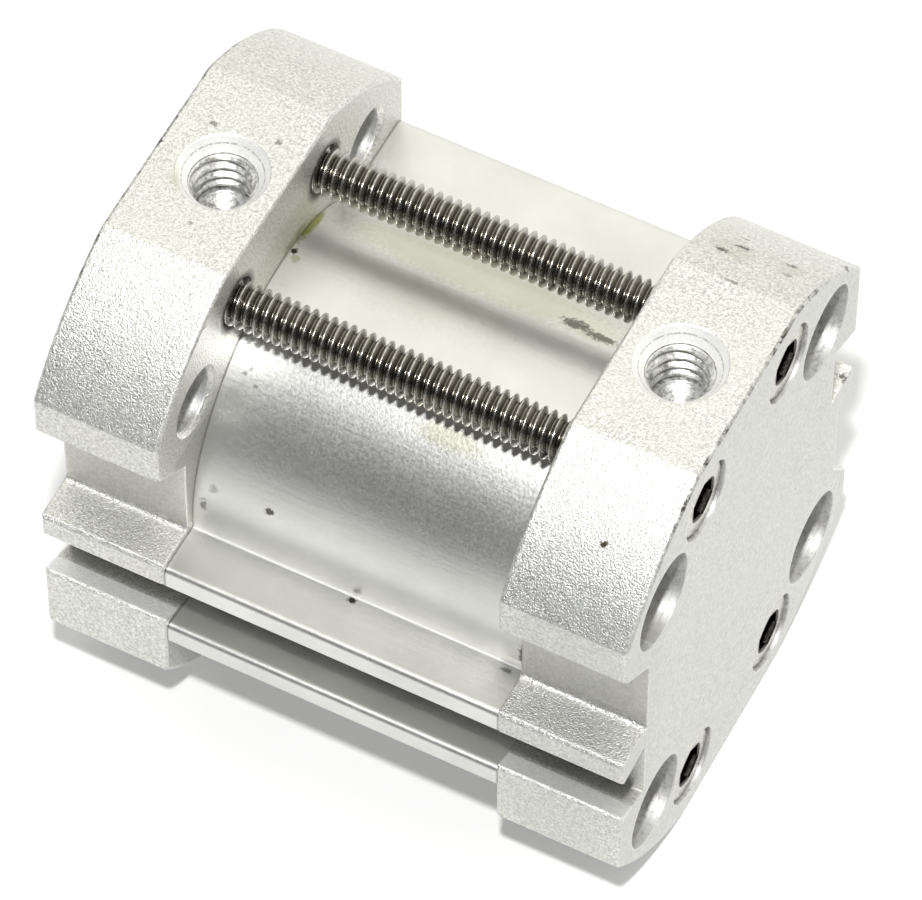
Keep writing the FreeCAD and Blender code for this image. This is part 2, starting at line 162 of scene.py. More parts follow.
# %% Node helpers
def fill(tree, node, inputs):
    """Fill a node's inputs: each is linked to another node's output or set to a plain value."""
    for key, value in inputs.items():
        if isinstance(value, bpy.types.NodeSocket):
            tree.links.new(value, node.inputs[key])
        else:
            node.inputs[key].default_value = value


def add_node(tree, kind, inputs=None, **settings):
    """New node of a kind with its settings and inputs."""
    node = tree.nodes.new(kind)
    for key, value in settings.items():
        setattr(node, key, value)
    fill(tree, node, inputs or {})
    return node


def maths(tree, operation, first, second=0.0):
    """Result of a maths node on two outputs or plain values."""
    return add_node(tree, "ShaderNodeMath", {0: first, 1: second}, operation=operation).outputs[0]


def product(tree, *values):
    """All the values multiplied together."""
    return reduce(lambda first, second: maths(tree, "MULTIPLY", first, second), values)


def strongest(tree, *masks):
    """Greatest of several masks at each point."""
    return reduce(lambda first, second: maths(tree, "MAXIMUM", first, second), masks)


# %% Vector and range helpers
def vector_maths(tree, operation, first, second=(0.0, 0.0, 0.0)):
    """Vector result of a vector maths node."""
    node = add_node(tree, "ShaderNodeVectorMath", {0: first, 1: second}, operation=operation)
    return node.outputs["Vector"]


def length_of(tree, vector):
    """Length of a vector."""
    return add_node(tree, "ShaderNodeVectorMath", {0: vector}, operation="LENGTH").outputs["Value"]


def split(tree, vector):
    """The three parts of a vector, by the names X, Y and Z."""
    return add_node(tree, "ShaderNodeSeparateXYZ", {0: vector}).outputs


def ranged(tree, value, low=0.0, high=1.0, from_low=0.3, from_high=0.7):
    """Value carried from one range to another and held inside it; most of a noise lies from 0.3 to 0.7."""
    return add_node(tree, "ShaderNodeMapRange", {
        "Value": value, "From Min": from_low, "From Max": from_high, "To Min": low, "To Max": high,
    }).outputs["Result"]


# %% Mixing, noise and bump helpers
def mix_value(tree, factor, first, second):
    """Number between two numbers; all three may be outputs or plain values."""
    return add_node(tree, "ShaderNodeMix", {0: factor, 2: first, 3: second}).outputs[0]


def mix_colour(tree, factor, first, second):
    """Colour between two colours, in the same way."""
    return add_node(tree, "ShaderNodeMix", {0: factor, 6: first, 7: second}, data_type="RGBA").outputs[2]


def noise(tree, coordinates, scale, detail, roughness=0.5):
    """Cloudy value from 0 to 1; the scale is in waves per metre."""
    return add_node(tree, "ShaderNodeTexNoise", {
        "Vector": coordinates, "Scale": scale, "Detail": detail, "Roughness": roughness}).outputs["Fac"]


def bumped(tree, height, depth, normal=None):
    """Normal tilted by a height whose whole rise is the depth, over the plain normal or a given one."""
    inputs = {"Height": height, "Distance": depth, "Strength": 1.0}
    if normal is not None:
        inputs["Normal"] = normal
    return add_node(tree, "ShaderNodeBump", inputs).outputs["Normal"]


# %% [markdown]
# Effects that several metals share are node groups, made once and placed with their own values.
# The first is the blasted grain: a fine noise for single dimples and a broad one for cloudy patches.

# %% Grain group
def new_group(name, inputs, outputs):
    """Empty node group with named sockets; returns the tree, its given values and its results."""
    tree = bpy.data.node_groups.new(name, "ShaderNodeTree")
    for label, kind in inputs:
        tree.interface.new_socket(name=label, in_out="INPUT", socket_type="NodeSocket" + kind)
    for label, kind in outputs:
        tree.interface.new_socket(name=label, in_out="OUTPUT", socket_type="NodeSocket" + kind)
    return tree, tree.nodes.new("NodeGroupInput").outputs, tree.nodes.new("NodeGroupOutput").inputs


def use_group(tree, group, inputs):
    """Outputs of a node group that is placed in a tree with its inputs."""
    return add_node(tree, "ShaderNodeGroup", inputs, node_tree=group).outputs


def make_grain_group():
    """Two noises from 0 to 1: Grain at a fine scale and Cloud at a broad one."""
    tree, given, result = new_group(
        "blasted_grain", [("Coordinates", "Vector"), ("Grain Scale", "Float"), ("Cloud Scale", "Float")],
        [("Grain", "Float"), ("Cloud", "Float")])
    for label, detail, roughness in (("Grain", 2.0, 0.6), ("Cloud", 4.0, 0.55)):
        value = noise(tree, given["Coordinates"], given[label + " Scale"], detail, roughness)
        tree.links.new(value, result[label])
    return tree


grain_group = make_grain_group()


def use_grain(tree, coordinates, grain_scale, cloud_scale):
    """Fine and broad noise of the grain group, at two scales in waves per metre."""
    grain = use_group(tree, grain_group, {
        "Coordinates": coordinates, "Grain Scale": grain_scale, "Cloud Scale": cloud_scale})
    return grain["Grain"], grain["Cloud"]


print("group", grain_group.name)

# %% [markdown]
# Handling rounds the edges of aluminium. The Bevel node gives the normal that a small
# round on each edge would have. Where it leaves the true normal there is an edge, so the same node
# gives both the softened normal and a mask for the edges, which the materials paint lighter, partly as
# worn metal and partly as a painted highlight.

# %% Edge group
bevel_samples = 6
edge_agreement = (0.80, 0.99)


def make_edge_group():
    """Rounded normal within a radius of each edge, and a mask from the angle to the plain normal."""
    tree, given, result = new_group(
        "edge_wear_and_highlight_group", [("Radius", "Float")], [("Mask", "Float"), ("Normal", "Vector")])
    bevel = add_node(tree, "ShaderNodeBevel", {"Radius": given["Radius"]}, samples=bevel_samples)
    rounded = bevel.outputs["Normal"]
    plain = add_node(tree, "ShaderNodeNewGeometry").outputs["Normal"]
    agreement = add_node(tree, "ShaderNodeVectorMath", {0: rounded, 1: plain}, operation="DOT_PRODUCT")
    mask = ranged(tree, agreement.outputs["Value"], 1.0, 0.0, *edge_agreement)
    tree.links.new(mask, result["Mask"])
    tree.links.new(rounded, result["Normal"])
    return tree


edge_group = make_edge_group()
print("group", edge_group.name)

# %% [markdown]
# The part is used: it has pits, scratches and brown stains, and a few places get painted shade. One
# group turns a centre and three half-widths into a mask, and a shared noise makes its rim ragged.

# %% Mark group
solid_core = 0.55


def make_mark_group():
    """Mask of an ellipsoid: Strength in its core, falling to 0 at the rim, which Ragged moves in and out."""
    tree, given, result = new_group(
        "ragged_mark",
        [("Coordinates", "Vector"), ("Centre", "Vector"), ("Size", "Vector"), ("Ragged", "Float"),
         ("Strength", "Float")],
        [("Mask", "Float")])
    offset = vector_maths(tree, "SUBTRACT", given["Coordinates"], given["Centre"])
    reach = length_of(tree, vector_maths(tree, "DIVIDE", offset, given["Size"]))
    ragged = maths(tree, "ADD", reach, given["Ragged"])
    mask = ranged(tree, ragged, 1.0, 0.0, solid_core, 1.0)
    tree.links.new(product(tree, mask, given["Strength"]), result["Mask"])
    return tree


mark_group = make_mark_group()


def marks_mask(tree, coordinates, marks, raggedness):
    """Strongest of several marks at each point; a mark is a centre and half-widths in mm, and a strength."""
    rim_noise = noise(tree, coordinates, 3200.0, 3.0, 0.65)
    ragged = ranged(tree, rim_noise, -raggedness, raggedness, 0.2, 0.8)
    masks = [use_group(tree, mark_group, {
        "Coordinates": coordinates, "Centre": Vector(centre) * MM, "Size": Vector(size) * MM,
        "Ragged": ragged, "Strength": strength})["Mask"] for centre, size, strength in marks]
    return strongest(tree, *masks)


print("group", mark_group.name)

# %% [markdown]
# The holes are bored after blasting, so their walls are smooth. The holes lie in mirrored fours,
# and so do the tie screws. Folding the coordinates about the part's middle lets one distance serve
# all four: it tells a hole's wall from the blasted skin, and a thread's crest from its root.

# %% Axis group
part_middle = Vector((0.0235, 0.0, 0.0))
port_axis = Vector(mounts["front_port"]["pos_m"]) - part_middle
half_pitch = mounts["front_mounting_holes"]["dims"]["spacing_x_mm"] / 2 * MM
hole_axis = Vector((0.0, half_pitch, half_pitch))
tie_low, tie_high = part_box("tie_screw_upper_far")
tie_axis = (Vector(tie_low) + Vector(tie_high)) / 2
ACROSS_X = (0.0, 1.0, 1.0)
ACROSS_Z = (1.0, 1.0, 0.0)


def folded(tree, coordinates):
    """Offset from the part's middle, without sign."""
    return vector_maths(tree, "ABSOLUTE", vector_maths(tree, "SUBTRACT", coordinates, part_middle))


def make_axis_group():
    """Distance from the nearest of four mirrored axes: fold, drop the axis direction, measure."""
    tree, given, result = new_group(
        "axis_distance", [("Coordinates", "Vector"), ("Place", "Vector"), ("Across", "Vector")],
        [("Distance", "Float")])
    offset = vector_maths(tree, "SUBTRACT", folded(tree, given["Coordinates"]), given["Place"])
    flat = vector_maths(tree, "MULTIPLY", offset, given["Across"])
    tree.links.new(length_of(tree, flat), result["Distance"])
    return tree


axis_group = make_axis_group()


def axis_distance(tree, coordinates, place, across):
    """Distance from the folded axis through a place."""
    folded_place = Vector([abs(v) for v in place])
    return use_group(tree, axis_group, {
        "Coordinates": coordinates, "Place": folded_place, "Across": across})["Distance"]


print("tie screw axis", [round(v * 1000, 2) for v in tie_axis])

# %% [markdown]
# A mask that jumps from 0 to 1 would leave a jagged line, so each limit is a soft step 0.04 mm wide.

# %% Masks from a limit
half_step = 0.02 * MM


def inside(tree, value, limit):
    """Mask: 1 where a value is below a limit and 0 above it."""
    return ranged(tree, value, 1.0, 0.0, limit - half_step, limit + half_step)


def beyond(tree, value, limit):
    """Mask: 0 where a value is below a limit and 1 above it."""
    return ranged(tree, value, 0.0, 1.0, limit - half_step, limit + half_step)


def around(tree, value, centre, half):
    """Mask: 1 where a value lies within half a width of a centre."""
    return inside(tree, maths(tree, "ABSOLUTE", maths(tree, "SUBTRACT", value, centre)), half)


# %% [markdown]
# ## Blasted aluminium of the caps
# Glass beads leave small dimples all over the caps. Seen close, each dimple has a bright and a dark
# side, so the look comes from a bump at the dimple's real size, and a speckled colour helps it where
# the light is flat. Grime stays in the holes. Painted shade darkens the recesses, the end faces, the
# near side of the rear cap, the gaps round the screws, and broken lines along the upper edges of the
# end faces and round the port mouths. Painted light brightens the port mouths and the slots, and the
# edges are lighter as wear and as a painted highlight. A mark or stain is a centre and half-widths in
# millimetres and a strength.

# %% Cap marks, stains and painted shade
cap_marks = [
    ((42.78, -14.03, 18.67), (0.30, 0.30, 0.30), 1.0),
    ((0.10, 0.20, 21.90), (0.20, 0.45, 0.30), 0.9),
    ((0.10, 1.60, 21.90), (0.22, 0.30, 0.30), 0.8),
    ((0.10, 2.80, 21.90), (0.25, 0.40, 0.30), 0.8),
    ((2.80, 3.50, 21.95), (0.35, 0.25, 0.30), 0.6),
    ((7.70, 4.10, 21.95), (0.30, 0.25, 0.30), 0.6),
    ((5.50, -5.00, 21.95), (0.25, 0.25, 0.30), 0.5),
    ((40.40, 12.45, 19.75), (0.60, 0.35, 0.40), 0.8),
    ((39.40, 11.10, 20.55), (0.50, 0.35, 0.40), 0.8),
    ((40.05, 13.90, 18.80), (0.60, 0.16, 0.20), 0.5),
    ((44.20, 12.70, 19.60), (0.45, 0.30, 0.40), 0.6),
    ((44.40, 11.30, 20.45), (0.40, 0.30, 0.40), 0.5),
    ((41.65, 7.95, 21.95), (0.90, 0.20, 0.30), 0.5),
    ((43.95, 1.20, 21.95), (0.25, 0.30, 0.30), 0.5),
    ((46.85, 16.35, 16.65), (0.40, 0.40, 0.40), 0.7),
    ((46.80, 17.40, 1.85), (0.75, 0.45, 0.30), 0.8),
]
cap_stains = [
    ((3.20, -1.40, 21.95), (1.30, 1.80, 0.50), 0.40),
    ((40.00, 11.80, 20.20), (2.20, 2.60, 1.20), 0.22),
    ((44.30, 12.00, 20.00), (1.20, 1.60, 1.00), 0.18),
    ((10.00, 0.50, 15.60), (0.30, 8.00, 3.00), 0.30),
    ((10.00, 2.00, 14.50), (0.30, 2.40, 0.60), 0.75),
]
# Painted shade on the near side of the rear cap.
rear_cap_side_shade = [((42.00, -17.50, 3.00), (8.00, 7.00, 22.00), 0.26)]
print("cap marks", len(cap_marks), "stains", len(cap_stains))


# %% Plain material
def new_material(name, metallic, base_color, roughness):
    """Principled material with its plain values; returns the material, its tree, shader and coordinates."""
    material = bpy.data.materials.new(name)
    material.use_nodes = True
    tree = material.node_tree
    shader = tree.nodes["Principled BSDF"]
    fill(tree, shader, {"Metallic": metallic, "Base Color": (*base_color, 1.0), "Roughness": roughness})
    coordinates = add_node(tree, "ShaderNodeTexCoord").outputs["Object"]
    return material, tree, shader, coordinates


# %% Masks of the holes
port_lowest = 10.0 * MM
port_wall_reach = 2.55 * MM
port_mouth_reach = 3.42 * MM
# Radius and half-width of a line of painted shade in the port mouth, where the real mouth's two slopes meet.
port_shade_line_reach = 2.98 * MM
port_shade_line_half = 0.04 * MM
counterbore_start = 42.7 * MM
hole_wall_reach = 2.55 * MM
counterbore_reach = 3.8 * MM
pocket_reach = 3.2 * MM
tool_ring_scale = 22000.0


def port_masks(tree, coordinates):
    """Masks of the upright ports: the threaded wall, the wide mouth above it, a ring in the mouth for a line
    of painted shade.
    """
    above = beyond(tree, split(tree, coordinates)["Z"], port_lowest)
    reach = axis_distance(tree, coordinates, port_axis, ACROSS_Z)
    wall = product(tree, inside(tree, reach, port_wall_reach), above)
    within = product(tree, inside(tree, reach, port_mouth_reach), above)
    line = product(tree, around(tree, reach, port_shade_line_reach, port_shade_line_half), above)
    return wall, maths(tree, "SUBTRACT", within, wall), line


def lengthwise_mask(tree, coordinates):
    """Mask: 1 on the walls of the mounting holes, their counterbores and the pockets of the screw heads."""
    behind = beyond(tree, split(tree, coordinates)["X"], counterbore_start)
    hole_reach = axis_distance(tree, coordinates, hole_axis, ACROSS_X)
    tie_reach = axis_distance(tree, coordinates, tie_axis, ACROSS_X)
    counterbore = product(tree, inside(tree, hole_reach, counterbore_reach), behind)
    pocket = product(tree, inside(tree, tie_reach, pocket_reach), behind)
    return strongest(tree, inside(tree, hole_reach, hole_wall_reach), counterbore, pocket)


def tool_rings(tree, coordinates, axis_name):
    """Rings that a drill leaves round a hole: a noise of the place along the hole's axis alone."""
    return add_node(tree, "ShaderNodeTexNoise", {
        "W": split(tree, coordinates)[axis_name], "Scale": tool_ring_scale, "Detail": 1.0,
    }, noise_dimensions="1D").outputs["Fac"]


# %% Masks of the sides
recess_half_length = 23.4 * MM
recess_half_width = 16.4 * MM
recess_half_height = 9.5 * MM
# Painted shade on the recess walls: how much of the shade colour they take.
recess_shade_strength = 0.55
slot_floor = 15.0 * MM
slot_mouth = 18.5 * MM
near_slot_middle, near_slot_half = -5.5 * MM, 2.65 * MM
far_slot_middle, far_slot_half = 4.1 * MM, 2.3 * MM


def recess_shade_mask(tree, coordinates):
    """Part strength of painted shade on the recess walls: deep in the sides, y and z of different signs, off
    the end faces.
    """
    middle = split(tree, folded(tree, coordinates))
    signed = split(tree, coordinates)
    crossed = maths(tree, "LESS_THAN", product(tree, signed["Y"], signed["Z"]), 0.0)
    return product(
        tree, inside(tree, middle["X"], recess_half_length), inside(tree, middle["Y"], recess_half_width),
        inside(tree, middle["Z"], recess_half_height), crossed, recess_shade_strength)


def slot_mask(tree, coordinates):
    """Mask: 1 inside the two sensor slots, which lie at their own heights on the near and the far side."""
    signed = split(tree, coordinates)
    across = maths(tree, "ABSOLUTE", signed["Y"])
    deep = maths(tree, "SUBTRACT", inside(tree, across, slot_mouth), inside(tree, across, slot_floor))
    near = around(tree, signed["Z"], near_slot_middle, near_slot_half)
    near = product(tree, near, maths(tree, "LESS_THAN", signed["Y"], 0.0))
    far = around(tree, signed["Z"], far_slot_middle, far_slot_half)
    far = product(tree, far, maths(tree, "GREATER_THAN", signed["Y"], 0.0))
    return product(tree, deep, maths(tree, "ADD", near, far))


# %% Masks of the end faces
inner_face = 13.5 * MM
inner_face_half = 0.06 * MM
# Painted shade of the gap round each screw on the caps' inner faces.
screw_gap_shade_reach = (2.1 * MM, 2.7 * MM)
screw_gap_shade_strength = 0.9
# Depth and height band of the painted shade line along the end faces' upper outline.
edge_depth = 0.25 * MM
edge_height = (17.5 * MM, 20.0 * MM)
flat_edge = 21.72 * MM
round_edge = 23.12 * MM


def end_mask(tree, coordinates, depth):
    """Mask: 1 within a depth of the two end faces."""
    along = split(tree, folded(tree, coordinates))["X"]
    return beyond(tree, along, part_middle[0] - depth)


def screw_gap_shade(tree, coordinates):
    """Mask of painted shade in the gap round each screw: on the caps' inner faces, fading 2.1 to 2.7 mm from
    a screw's axis.
    """
    along = split(tree, folded(tree, coordinates))["X"]
    face = around(tree, along, inner_face, inner_face_half)
    reach = axis_distance(tree, coordinates, tie_axis, ACROSS_X)
    return product(tree, face, ranged(tree, reach, screw_gap_shade_strength, 0.0, *screw_gap_shade_reach))


def outline_shade_line(tree, coordinates):
    """Broken line of painted shade along the end faces' upper outline: close to a face and to the flat or the
    round.
    """
    height = split(tree, coordinates)["Z"]
    upper = ranged(tree, height, 0.0, 1.0, *edge_height)
    reach = length_of(tree, vector_maths(tree, "MULTIPLY", coordinates, ACROSS_X))
    outline = strongest(
        tree, maths(tree, "GREATER_THAN", height, flat_edge), maths(tree, "GREATER_THAN", reach, round_edge))
    specks = ranged(tree, noise(tree, coordinates, 1500.0, 4.0, 0.75), 0.0, 0.95, 0.42, 0.56)
    patches = ranged(tree, noise(tree, coordinates, 320.0, 1.0), 0.2, 1.0, 0.40, 0.58)
    return product(tree, outline, specks, patches, end_mask(tree, coordinates, edge_depth), upper)


# %% [markdown]
# The cap's colour is laid on like coats of paint: dimples and clouds first, then what each machined
# place shows in their stead, with painted light, painted highlights and painted shade, then dirt and
# more painted shade. Colour, shine and height share the same masks, so these are made once and passed
# on by name.

# %% Cap masks and colours
cap_grain_scale, cap_cloud_scale = 7600.0, 150.0
cap_edge_radius = 0.24 * MM
# Depth from the end faces over which painted shade darkens them.
end_face_shade_depth = 0.05 * MM
dimple_dark, dimple_light = (0.42, 0.42, 0.40, 1), (0.90, 0.90, 0.87, 1)
cloud_grey = (0.70, 0.695, 0.65, 1)
thread_grimy, thread_clean = (0.34, 0.335, 0.31, 1), (0.86, 0.86, 0.85, 1)
bore_grimy, bore_clean = (0.50, 0.495, 0.47, 1), (0.70, 0.70, 0.69, 1)
# Colour of the painted shade on the end faces.
end_face_shade_grey = (0.48, 0.48, 0.47, 1)
# Painted light in the port mouths.
mouth_painted_light = (0.92, 0.92, 0.90, 1)
# Painted light in the sensor slots.
slot_painted_light = (0.80, 0.80, 0.79, 1)
# Edge colour: partly worn metal, partly a painted highlight.
edge_wear_and_highlight = (0.93, 0.93, 0.91, 1)
# Colour of the painted shade on the recess walls.
recess_shade_grey = (0.46, 0.455, 0.43, 1)


def cap_masks(tree, coordinates):
    """The noises and masks that the cap's colour, shine and height share."""
    grain, cloud = use_grain(tree, coordinates, cap_grain_scale, cap_cloud_scale)
    port, mouth, mouth_shade_line = port_masks(tree, coordinates)
    edge = use_group(tree, edge_group, {"Radius": cap_edge_radius})
    return {
        "grain": grain, "cloud": cloud, "port": port, "mouth": mouth, "mouth_shade_line": mouth_shade_line,
        "spots": noise(tree, coordinates, 4200.0, 1.0, 0.6),
        "grime": noise(tree, coordinates, 2600.0, 4.0, 0.7),
        "bores": lengthwise_mask(tree, coordinates), "slot": slot_mask(tree, coordinates),
        "edge": edge["Mask"], "rounded": edge["Normal"],
    }


def cap_metal(tree, coordinates, masks):
    """Colour of the metal: dimples, clouds, then each machined or worn place at its own strength, with
    painted light, painted highlights and painted shade.
    """
    speckle = product(tree, maths(tree, "ADD", masks["grain"], masks["spots"]), 0.5)
    base = mix_colour(tree, ranged(tree, speckle, 0.0, 1.0, 0.36, 0.64), dimple_dark, dimple_light)
    base = mix_colour(tree, ranged(tree, masks["cloud"], 0.0, 0.5), base, cloud_grey)
    thread_share = ranged(tree, masks["grime"], 0.0, 1.0, 0.40, 0.56)
    bore_share = ranged(tree, masks["grime"], 0.0, 1.0, 0.36, 0.52)
    for mask, strength, colour in (
        (masks["port"], 1.0, mix_colour(tree, thread_share, thread_grimy, thread_clean)),
        (masks["bores"], 1.0, mix_colour(tree, bore_share, bore_grimy, bore_clean)),
        # painted shade on the end faces
        (end_mask(tree, coordinates, end_face_shade_depth), 0.45, end_face_shade_grey),
        # painted light in the port mouths
        (masks["mouth"], 0.7, mouth_painted_light),
        # painted light in the sensor slots
        (masks["slot"], 0.7, slot_painted_light),
        # edges lighter as wear and as a painted highlight
        (masks["edge"], 0.85, edge_wear_and_highlight),
        # painted shade on the recess walls
        (recess_shade_mask(tree, coordinates), 1.0, recess_shade_grey),
    ):
        base = mix_colour(tree, product(tree, mask, strength), base, colour)
    return base


# %% Cap dirt and painted shade
soft_rim = 0.35
cap_mark_rim = 0.9
# Colour of the painted shade on the rear cap's near side.
side_shade_grey = (0.38, 0.38, 0.37, 1)
stain_brown = (0.37, 0.36, 0.22, 1)
dark_dirt_and_shade = (0.055, 0.048, 0.035, 1)


def cap_dirt_and_shade(tree, coordinates, masks, base):
    """The metal's colour under painted shade on the rear cap's near side, stains, then dark marks with
    painted shade round the mouths, in the screw gaps and along the end faces' outline.
    """
    side_shade = marks_mask(tree, coordinates, rear_cap_side_shade, soft_rim)
    stains = marks_mask(tree, coordinates, cap_stains, soft_rim)
    marks = marks_mask(tree, coordinates, cap_marks, cap_mark_rim)
    # painted shade along the line round each port mouth, broken by noise
    broken_mouth_shade = product(tree, masks["mouth_shade_line"], ranged(tree, masks["spots"], 0.0, 0.5, 0.42, 0.52))
    # dark marks and painted shade: the end faces' outline, the gaps round the screws and the mouth lines
    dirt_and_shade = strongest(tree, marks, outline_shade_line(tree, coordinates), screw_gap_shade(tree, coordinates), broken_mouth_shade)
    for mask, colour in ((side_shade, side_shade_grey), (stains, stain_brown), (dirt_and_shade, dark_dirt_and_shade)):
        base = mix_colour(tree, mask, base, colour)
    return base


# %% Cap material
cap_metallic = 0.85
cap_dimple_depth = 0.075 * MM


def cap_roughness(tree, masks):
    """Roughness that follows the dimples, with one value for each kind of machined wall."""
    rough = ranged(tree, masks["grain"], 0.36, 0.46)
    for name, value in (("port", 0.33), ("bores", 0.52), ("mouth", 0.48)):
        rough = mix_value(tree, masks[name], rough, value)
    return rough


def cap_relief(tree, coordinates, masks):
    """Height of the dimples outside the machined walls, plus tool rings on the walls."""
    smooth = strongest(tree, masks["port"], masks["bores"], product(tree, masks["mouth"], 0.7))
    relief = product(tree, masks["grain"], maths(tree, "SUBTRACT", 1.0, smooth))
    for name, axis_name, height in (("bores", "X", 0.35), ("port", "Z", 0.4)):
        rings = product(tree, tool_rings(tree, coordinates, axis_name), masks[name], height)
        relief = maths(tree, "ADD", relief, rings)
    return relief


def make_cap_material():
    """Blasted metal with machined holes, duller and painted lighter in the port mouths and the slots."""
    material, tree, shader, coordinates = new_material(
        "cap_aluminium", cap_metallic, (0.76, 0.76, 0.75), 0.45)
    masks = cap_masks(tree, coordinates)
    base = cap_dirt_and_shade(tree, coordinates, masks, cap_metal(tree, coordinates, masks))
    dulled = maths(tree, "ADD", product(tree, masks["mouth"], 0.45), product(tree, masks["slot"], 0.35))
    relief = cap_relief(tree, coordinates, masks)
    fill(tree, shader, {
        "Base Color": base, "Roughness": cap_roughness(tree, masks),
        "Metallic": maths(tree, "SUBTRACT", cap_metallic, dulled),
        "Normal": bumped(tree, relief, cap_dimple_depth, masks["rounded"])})
    return material


cap_material = make_cap_material()
print("material", cap_material.name, "nodes", len(cap_material.node_tree.nodes))

# %% [markdown]
# ## Satin aluminium of the barrel
# The barrel is pressed through a die, so it is smoother than the caps and carries faint lines along
# its length. Stretching a noise along X gives those lines. Where it meets a cap, a dark line runs
# along the seam. The slots are painted lighter and the corner above the near rail gets a painted
# highlight, both standing for light.

# %% Barrel marks, stains and painted shade
barrel_marks_and_shadow = [
    ((23.21, -14.65, -1.00), (0.40, 0.30, 0.40), 1.0),
    ((30.90, 5.40, 13.15), (1.30, 0.75, 0.60), 0.80),
    ((33.00, 5.05, 13.28), (1.80, 0.50, 0.50), 0.75),
    ((10.40, 1.20, 14.15), (0.30, 0.30, 0.30), 1.0),
    ((16.04, -13.59, 4.11), (0.45, 0.30, 0.40), 0.9),
    ((10.87, -14.04, 2.14), (0.35, 0.30, 0.70), 0.6),
    ((11.56, -13.64, 3.95), (0.40, 0.30, 0.50), 0.4),
    # painted shadow between the barrel's end and the rear cap
    ((36.75, -14.30, 0.60), (0.45, 0.60, 1.50), 0.85),
    ((11.40, -8.25, 11.55), (0.25, 0.22, 0.25), 0.6),
    ((11.70, -7.90, 11.80), (0.20, 0.20, 0.20), 0.6),
    ((12.45, -8.75, 11.20), (0.22, 0.20, 0.20), 0.5),
    ((35.80, -14.90, -1.00), (0.50, 0.25, 0.30), 0.6),
]
barrel_stains_and_shade = [
    ((10.15, 4.40, 13.50), (0.50, 2.90, 1.40), 0.95),
    ((10.80, 0.60, 14.20), (0.40, 0.45, 0.30), 0.5),
    ((27.20, -7.10, 12.30), (3.20, 1.20, 0.90), 0.35),
    ((32.60, 5.00, 13.30), (2.60, 0.90, 0.60), 0.30),
    ((20.00, 2.00, 14.10), (9.00, 3.00, 0.80), 0.12),
    # partly a yellowish film and partly painted shade under the far screw
    ((23.00, 6.30, 12.70), (15.00, 3.00, 3.00), 0.30),
]
barrel_low, barrel_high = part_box("barrel")
print("barrel marks", len(barrel_marks_and_shadow), "stains", len(barrel_stains_and_shade))


# %% Barrel material
barrel_metallic = 0.9
barrel_grain_scale, barrel_cloud_scale = 4300.0, 140.0
barrel_edge_radius = 0.15 * MM
barrel_skin_depth = 0.010 * MM
barrel_mark_rim = 0.6
die_line_stretch = (0.05, 1.0, 1.0)
barrel_dark, barrel_light = (0.64, 0.64, 0.62, 1), (0.74, 0.74, 0.71, 1)
# Edge colour of the barrel: partly worn metal, partly a painted highlight.
barrel_edge_wear_and_highlight = (0.86, 0.86, 0.855, 1)
barrel_stain_and_shade = (0.31, 0.32, 0.11, 1)
# Painted light in the barrel's slots and a painted highlight on the rail corner.
barrel_slot_and_corner_light = (0.84, 0.84, 0.81, 1)
corner_across, corner_across_half = -14.27 * MM, 0.10 * MM
corner_level, corner_level_half = -1.0 * MM, 0.12 * MM
seam_width = (0.05 * MM, 0.16 * MM)


def rail_corner_highlight(tree, coordinates):
    """Mask: 1 on the line where the near rail's top leaves the barrel's round, for a painted highlight."""
    axes = split(tree, coordinates)
    across = around(tree, axes["Y"], corner_across, corner_across_half)
    return product(tree, across, around(tree, axes["Z"], corner_level, corner_level_half))


# Darker line where the barrel meets a cap.
def seam_dark_line(tree, coordinates):
    """Mask: 0.5 where the barrel meets a cap, fading out 0.05 to 0.16 mm from it."""
    along = split(tree, coordinates)["X"]
    from_front = maths(tree, "SUBTRACT", along, barrel_low[0])
    from_rear = maths(tree, "SUBTRACT", barrel_high[0], along)
    return ranged(tree, maths(tree, "MINIMUM", from_front, from_rear), 0.5, 0.0, *seam_width)


def barrel_colour(tree, coordinates, cloud, edge, slot_and_corner_light):
    """Cloudy metal, edges lit as wear and highlight, stains with painted shade, painted light in the slots
    and on the rail corner, and dark marks with a painted shadow and the seam line, one over the other.
    """
    base = mix_colour(tree, ranged(tree, cloud), barrel_dark, barrel_light)
    # edges lighter as wear and as a painted highlight
    base = mix_colour(tree, product(tree, edge, 0.6), base, barrel_edge_wear_and_highlight)
    base = mix_colour(tree, marks_mask(tree, coordinates, barrel_stains_and_shade, soft_rim), base, barrel_stain_and_shade)
    base = mix_colour(tree, slot_and_corner_light, base, barrel_slot_and_corner_light)
    marks = marks_mask(tree, coordinates, barrel_marks_and_shadow, barrel_mark_rim)
    return mix_colour(tree, strongest(tree, marks, seam_dark_line(tree, coordinates)), base, dark_dirt_and_shade)


def make_barrel_material():
    """Die lines and a fine grain under a soft shine, duller and painted lighter in the slots, with a painted
    highlight on the corner above the near rail.
    """
    material, tree, shader, coordinates = new_material(
        "barrel_aluminium", barrel_metallic, (0.76, 0.76, 0.75), 0.38)
    stretched = add_node(tree, "ShaderNodeMapping", {"Vector": coordinates, "Scale": die_line_stretch})
    lines = noise(tree, stretched.outputs["Vector"], 2400.0, 3.0, 0.6)
    grain, cloud = use_grain(tree, coordinates, barrel_grain_scale, barrel_cloud_scale)
    edge = use_group(tree, edge_group, {"Radius": barrel_edge_radius})
    # painted light in the slots and a painted highlight on the corner above the near rail
    slot_and_corner_light = strongest(tree, slot_mask(tree, coordinates), rail_corner_highlight(tree, coordinates))
    relief = maths(tree, "ADD", lines, grain)
    fill(tree, shader, {
        "Base Color": barrel_colour(tree, coordinates, cloud, edge["Mask"], slot_and_corner_light),
        "Roughness": ranged(tree, grain, 0.32, 0.42),
        "Metallic": maths(tree, "SUBTRACT", barrel_metallic, product(tree, slot_and_corner_light, 0.5)),
        "Normal": bumped(tree, relief, barrel_skin_depth, edge["Normal"])})
    return material


barrel_material = make_barrel_material()
print("material", barrel_material.name, "nodes", len(barrel_material.node_tree.nodes))

